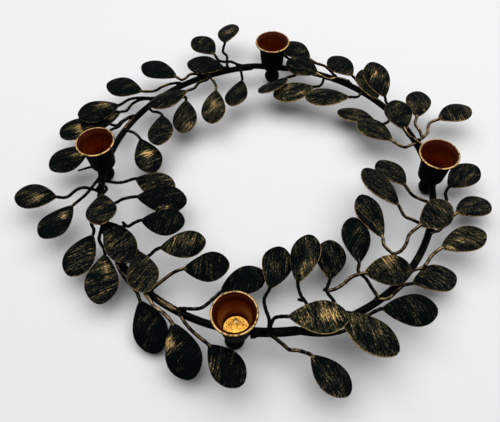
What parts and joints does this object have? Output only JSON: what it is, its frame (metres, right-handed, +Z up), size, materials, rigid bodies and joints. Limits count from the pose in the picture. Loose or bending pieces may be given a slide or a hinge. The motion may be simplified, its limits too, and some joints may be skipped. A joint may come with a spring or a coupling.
{
  "type": "advent wreath candle holder",
  "caption": "Welded metal leaf wreath on ball feet: a rod ring with stamped leaves on bent wire stems and flared cups that hold upright candles.",
  "frame": {"origin": "on the table under the middle of the whole outline", "axes": "+Z up, -Y towards the front cup as pictured, +X to the right"},
  "size_m": [0.338, 0.3264, 0.0422],
  "materials": {
    "black_paint": "satin black paint",
    "dry_brushed_gold": "matte black paint dry-brushed with antique gold",
    "gold_lacquer": "black outside, worn gold rim and brown-gold lacquer inside"
  },
  "bodies": {
    "root": {"right_half_ring": "black_paint", "left_half_ring": "black_paint", "front_candle_cup": "gold_lacquer", "front_ball_foot": "black_paint", "right_candle_cup": "gold_lacquer", "right_ball_foot": "black_paint", "back_candle_cup": "gold_lacquer", "back_ball_foot": "black_paint", "left_candle_cup": "gold_lacquer", "left_ball_foot": "black_paint", "front_left_leaf_1": "dry_brushed_gold", "front_left_leaf_2": "dry_brushed_gold", "front_left_leaf_3": "dry_brushed_gold", "front_left_leaf_4": "dry_brushed_gold", "front_left_leaf_5": "dry_brushed_gold", "front_left_leaf_6": "dry_brushed_gold", "front_left_twin_1": "dry_brushed_gold", "front_left_leaf_7": "dry_brushed_gold", "front_left_leaf_8": "dry_brushed_gold", "front_left_leaf_9": "dry_brushed_gold", "front_left_leaf_10": "dry_brushed_gold", "front_left_leaf_11": "dry_brushed_gold", "front_left_leaf_12": "dry_brushed_gold", "front_left_leaf_13": "dry_brushed_gold", "front_left_leaf_14": "dry_brushed_gold", "front_right_twin_1": "dry_brushed_gold", "front_right_leaf_1": "dry_brushed_gold", "front_right_leaf_2": "dry_brushed_gold", "front_right_leaf_3": "dry_brushed_gold", "front_right_twin_2": "dry_brushed_gold", "front_right_leaf_4": "dry_brushed_gold", "front_right_twin_3": "dry_brushed_gold", "front_right_leaf_5": "dry_brushed_gold", "front_right_twin_4": "dry_brushed_gold", "front_right_leaf_6": "dry_brushed_gold", "front_right_leaf_7": "dry_brushed_gold", "front_right_leaf_8": "dry_brushed_gold", "front_right_leaf_9": "dry_brushed_gold", "back_right_twin_1": "dry_brushed_gold", "back_right_twin_2": "dry_brushed_gold", "back_right_leaf_1": "dry_brushed_gold", "back_right_leaf_2": "dry_brushed_gold", "back_right_leaf_3": "dry_brushed_gold", "back_right_leaf_4": "dry_brushed_gold", "back_right_leaf_5": "dry_brushed_gold", "back_right_leaf_6": "dry_brushed_gold", "back_right_leaf_7": "dry_brushed_gold", "back_right_leaf_8": "dry_brushed_gold", "back_right_twin_3": "dry_brushed_gold", "back_left_twin_1": "dry_brushed_gold", "back_left_leaf_1": "dry_brushed_gold", "back_left_leaf_2": "dry_brushed_gold", "back_left_twin_2": "dry_brushed_gold", "back_left_leaf_3": "dry_brushed_gold", "back_left_leaf_4": "dry_brushed_gold", "back_left_leaf_5": "dry_brushed_gold", "back_left_twin_3": "dry_brushed_gold", "back_left_leaf_6": "dry_brushed_gold", "back_left_twin_4": "dry_brushed_gold", "back_left_leaf_7": "dry_brushed_gold"}
  },
  "joints": []
}
